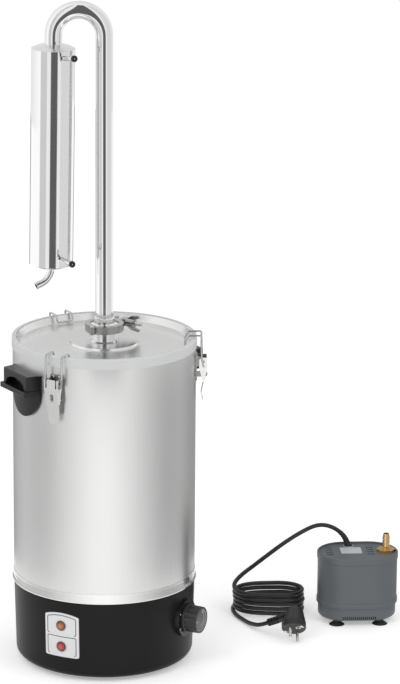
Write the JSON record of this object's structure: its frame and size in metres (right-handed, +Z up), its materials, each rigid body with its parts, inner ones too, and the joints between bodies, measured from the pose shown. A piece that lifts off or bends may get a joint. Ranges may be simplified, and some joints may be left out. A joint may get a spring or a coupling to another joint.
{
  "type": "countertop water distiller",
  "caption": "Electric boiler with a clamped lid, a swan-neck riser and hanging condenser, and a small cooling-water pump with its lead.",
  "frame": {"origin": "on the floor, under the middle of the boiler", "axes": "+Z up along the boiler and riser; -Y is the side with the indicator panel; +X points to the side where the pump stands"},
  "size_m": [0.5943, 0.3591, 0.9838],
  "materials": {
    "black_plastic": "fine satin moulding",
    "gloss_black": "smooth moulding",
    "grey_plastic": "satin moulding",
    "pump_plastic": "satin dark grey moulding",
    "rubber": "matt",
    "cord_rubber": "satin sheath",
    "silicone": "milky, translucent",
    "satin_steel": "lengthwise satin grain",
    "polished_steel": "polished stainless",
    "element_steel": "heat-darkened",
    "zinc_sheet": "zinc plated",
    "cast_aluminium": "as cast",
    "brass": "turned",
    "nickel_pins": "nickel plated",
    "amber_lens": "translucent cap",
    "red_lens": "translucent cap"
  },
  "bodies": {
    "boiler": {"base_shell": "black_plastic", "base_plate": "zinc_sheet", "foot_ring": "rubber", "base_stud": "zinc_sheet", "heater_plate": "cast_aluminium", "heater_element": "element_steel", "thermal_cutout": "zinc_sheet", "thermostat_body": "grey_plastic", "terminal_block": "grey_plastic", "power_inlet": "gloss_black", "vessel": "satin_steel", "skirt_ring": "satin_steel", "indicator_panel": "black_plastic", "lamp_amber": "amber_lens", "lamp_red": "red_lens", "dial_plate": "black_plastic", "handle_left": "gloss_black", "handle_right": "gloss_black", "handle_screws": "zinc_sheet", "lid": "satin_steel", "lid_seal": "silicone", "lid_neck": "polished_steel", "ferrule_gasket": "silicone", "clamp_front": "polished_steel", "clamp_back": "polished_steel", "clamp_pins": "polished_steel", "clamp_bolt": "polished_steel", "latch_base_1": "polished_steel", "latch_base_2": "polished_steel", "latch_base_3": "polished_steel"},
    "knob": {"thermostat_knob": "grey_plastic"},
    "wing_nut": {"wing_nut": "polished_steel"},
    "column": {"riser_ferrule": "polished_steel", "riser_tube": "polished_steel", "condenser_jacket": "polished_steel", "condenser_top_cap": "polished_steel", "condenser_bottom_cap": "polished_steel", "condenser_tubes": "satin_steel", "water_inlet_stub": "polished_steel", "water_outlet_stub": "polished_steel", "distillate_spout": "polished_steel"},
    "pump": {"pump_housing": "pump_plastic", "pump_deck": "pump_plastic", "pump_base": "pump_plastic", "pump_feet": "rubber", "hose_nipple": "brass", "pump_motor": "grey_plastic", "cord_gland": "cord_rubber", "pump_cord": "cord_rubber", "cord_coil": "cord_rubber", "plug_body": "cord_rubber", "plug_pins": "nickel_pins"},
    "impeller": {"pump_impeller": "grey_plastic"},
    "lever_1": {"latch_lever_1": "polished_steel"},
    "bail_1": {"latch_bail_1": "polished_steel"},
    "lever_2": {"latch_lever_2": "polished_steel"},
    "bail_2": {"latch_bail_2": "polished_steel"},
    "lever_3": {"latch_lever_3": "polished_steel"},
    "bail_3": {"latch_bail_3": "polished_steel"}
  },
  "joints": [
    {"name": "knob_turn", "type": "hinge", "parent": "boiler", "child": "knob", "pos_m": [0.12358, -0.06028, 0.0765], "axis": [-0.8988, 0.4384, 0], "range_deg": [0, 270]},
    {"name": "column_swivel", "type": "hinge", "parent": "boiler", "child": "column", "pos_m": [0, 0, 0.5052], "axis": [0, 0, 1], "continuous": true},
    {"name": "wing_nut_turn", "type": "hinge", "parent": "boiler", "child": "wing_nut", "pos_m": [0.0207, 0.03187, 0.5044], "axis": [0.8387, -0.5446, 0], "continuous": true},
    {"name": "pump_lift", "type": "slide", "parent": "boiler", "child": "pump", "axis": [0, 0, 1], "range_m": [0, 0.3]},
    {"name": "impeller_spin", "type": "hinge", "parent": "pump", "child": "impeller", "pos_m": [0.383, 0.1555, 0.03], "axis": [0.9976, 0.0698, 0], "continuous": true},
    {"name": "lever_1_flip", "type": "hinge", "parent": "boiler", "child": "lever_1", "pos_m": [-0.07006, -0.12638, 0.454], "axis": [-0.8746, 0.4848, 0], "range_deg": [0, 160]},
    {"name": "bail_1_swing", "type": "hinge", "parent": "lever_1", "child": "bail_1", "pos_m": [-0.07025, -0.12673, 0.44651], "axis": [-0.8746, 0.4848, 0], "range_deg": [-160, 0]},
    {"name": "lever_2_flip", "type": "hinge", "parent": "boiler", "child": "lever_2", "pos_m": [0.14448, 0.00252, 0.454], "axis": [0.0175, -0.9998, 0], "range_deg": [0, 160]},
    {"name": "bail_2_swing", "type": "hinge", "parent": "lever_2", "child": "bail_2", "pos_m": [0.14487, 0.00253, 0.44651], "axis": [0.0175, -0.9998, 0], "range_deg": [-160, 0]},
    {"name": "lever_3_flip", "type": "hinge", "parent": "boiler", "child": "lever_3", "pos_m": [-0.07442, 0.12386, 0.454], "axis": [0.8572, 0.515, 0], "range_deg": [0, 160]},
    {"name": "bail_3_swing", "type": "hinge", "parent": "lever_3", "child": "bail_3", "pos_m": [-0.07463, 0.1242, 0.44651], "axis": [0.8572, 0.515, 0], "range_deg": [-160, 0]}
  ],
  "couplings": [
    {"joint": "bail_1_swing", "follows": "lever_1_flip", "ratio": -1},
    {"joint": "bail_2_swing", "follows": "lever_2_flip", "ratio": -1},
    {"joint": "bail_3_swing", "follows": "lever_3_flip", "ratio": -1}
  ]
}
